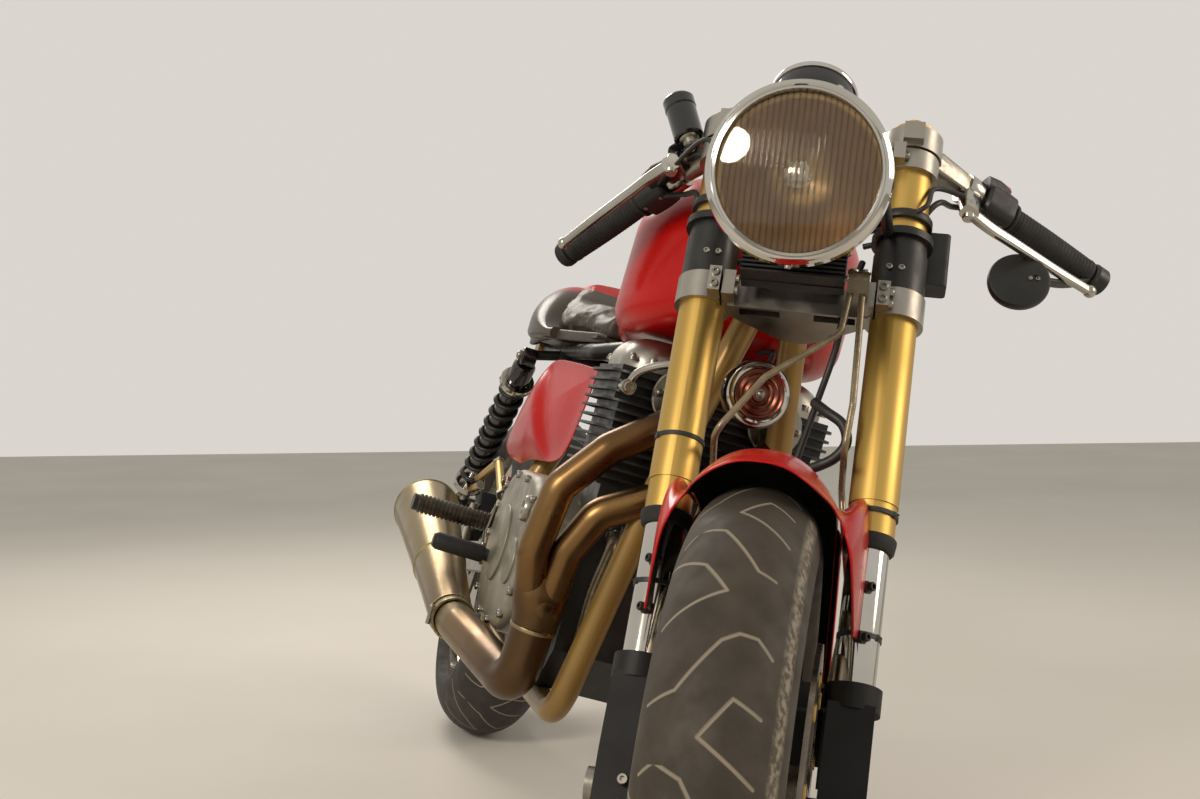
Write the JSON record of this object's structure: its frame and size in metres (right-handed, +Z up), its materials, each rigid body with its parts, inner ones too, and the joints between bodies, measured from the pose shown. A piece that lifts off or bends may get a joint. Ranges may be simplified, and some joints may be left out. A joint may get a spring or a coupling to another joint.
{
  "type": "cafe racer motorcycle",
  "caption": "Cafe racer motorcycle with an air-cooled parallel twin, gold fork, round headlight, red tank and humped seat, leaning on its side stand.",
  "frame": {"origin": "on the floor, under the middle of the machine's box", "axes": "+X forward along the wheelbase, +Y to the rider's left, +Z up"},
  "size_m": [2.0733, 0.7754, 1.047],
  "materials": {
    "tyre_rubber": "worn",
    "polished_alloy": "polished",
    "satin_alloy": "satin",
    "steel": "brushed",
    "black_alloy": "satin",
    "chrome": "polished",
    "gold_anodised": "anodised",
    "black_paint": "gloss",
    "lens_glass": "clear",
    "black_plastic": "satin",
    "grip_rubber": "matt",
    "red_paint": "gloss",
    "hose": "braided",
    "frame_paint": "satin",
    "heated_steel": "heat tinted",
    "straw_steel": "heat tinted",
    "seat_leather": "matt",
    "red_lens": "clear"
  },
  "bodies": {
    "chassis": {"frame_backbone": "frame_paint", "frame_cradle_left": "frame_paint", "frame_cradle_right": "frame_paint", "frame_subframe": "frame_paint", "swingarm": "frame_paint", "rear_axle": "steel", "shocks": "black_alloy", "crankcase": "black_alloy", "barrels": "black_alloy", "cylinder_head": "black_alloy", "cam_cover": "satin_alloy", "clutch_cover": "satin_alloy", "alternator_cover": "satin_alloy", "carburettors": "satin_alloy", "exhaust_headers": "heated_steel", "link_pipe": "heated_steel", "muffler": "straw_steel", "fuel_tank": "red_paint", "seat_cowl": "red_paint", "seat_pad": "seat_leather", "side_panels": "red_paint", "horn": "chrome", "rearsets": "black_alloy", "chain": "steel", "rear_caliper": "black_alloy", "tail_light": "red_lens", "stand_bracket": "black_alloy"},
    "steering": {"front_axle": "steel", "fork_feet": "black_alloy", "fork_inner_tubes": "chrome", "fork_outer_tubes": "gold_anodised", "lower_clamp": "satin_alloy", "top_clamp": "satin_alloy", "headlight_shell": "black_paint", "headlight_ring": "chrome", "headlight_lens": "lens_glass", "headlight_brackets": "black_alloy", "instrument_pod": "black_plastic", "handlebars": "satin_alloy", "grips": "grip_rubber", "switchgear": "black_plastic", "levers": "satin_alloy", "brake_reservoir": "black_plastic", "mirror": "black_alloy", "front_fender": "red_paint", "front_calipers": "black_alloy", "rectifier": "black_alloy", "brake_hoses": "hose"},
    "front_wheel": {"front_tyre": "tyre_rubber", "front_rim": "polished_alloy", "front_hub": "satin_alloy", "front_discs": "steel"},
    "rear_wheel": {"rear_tyre": "tyre_rubber", "rear_rim": "polished_alloy", "rear_hub": "satin_alloy", "rear_disc": "steel", "rear_sprocket": "steel"},
    "side_stand": {"side_stand": "black_alloy"}
  },
  "joints": [
    {"name": "steering_turn", "type": "hinge", "parent": "chassis", "child": "steering", "pos_m": [0.49897, 0.01341, 0.81579], "axis": [-0.3861, 0.262, 0.8845], "range_deg": [-2, 52]},
    {"name": "front_wheel_spin", "type": "hinge", "parent": "steering", "child": "front_wheel", "pos_m": [0.75572, -0.15296, 0.29877], "axis": [0.3898, 0.9153, -0.1009], "continuous": true},
    {"name": "rear_wheel_spin", "type": "hinge", "parent": "chassis", "child": "rear_wheel", "pos_m": [-0.72173, -0.1378, 0.30532], "axis": [0, 0.9588, -0.284], "continuous": true},
    {"name": "stand_fold", "type": "hinge", "parent": "chassis", "child": "side_stand", "pos_m": [0.11856, -0.03662, 0.19622], "axis": [0.0548, 0.8916, 0.4494], "range_deg": [0, 98]}
  ]
}
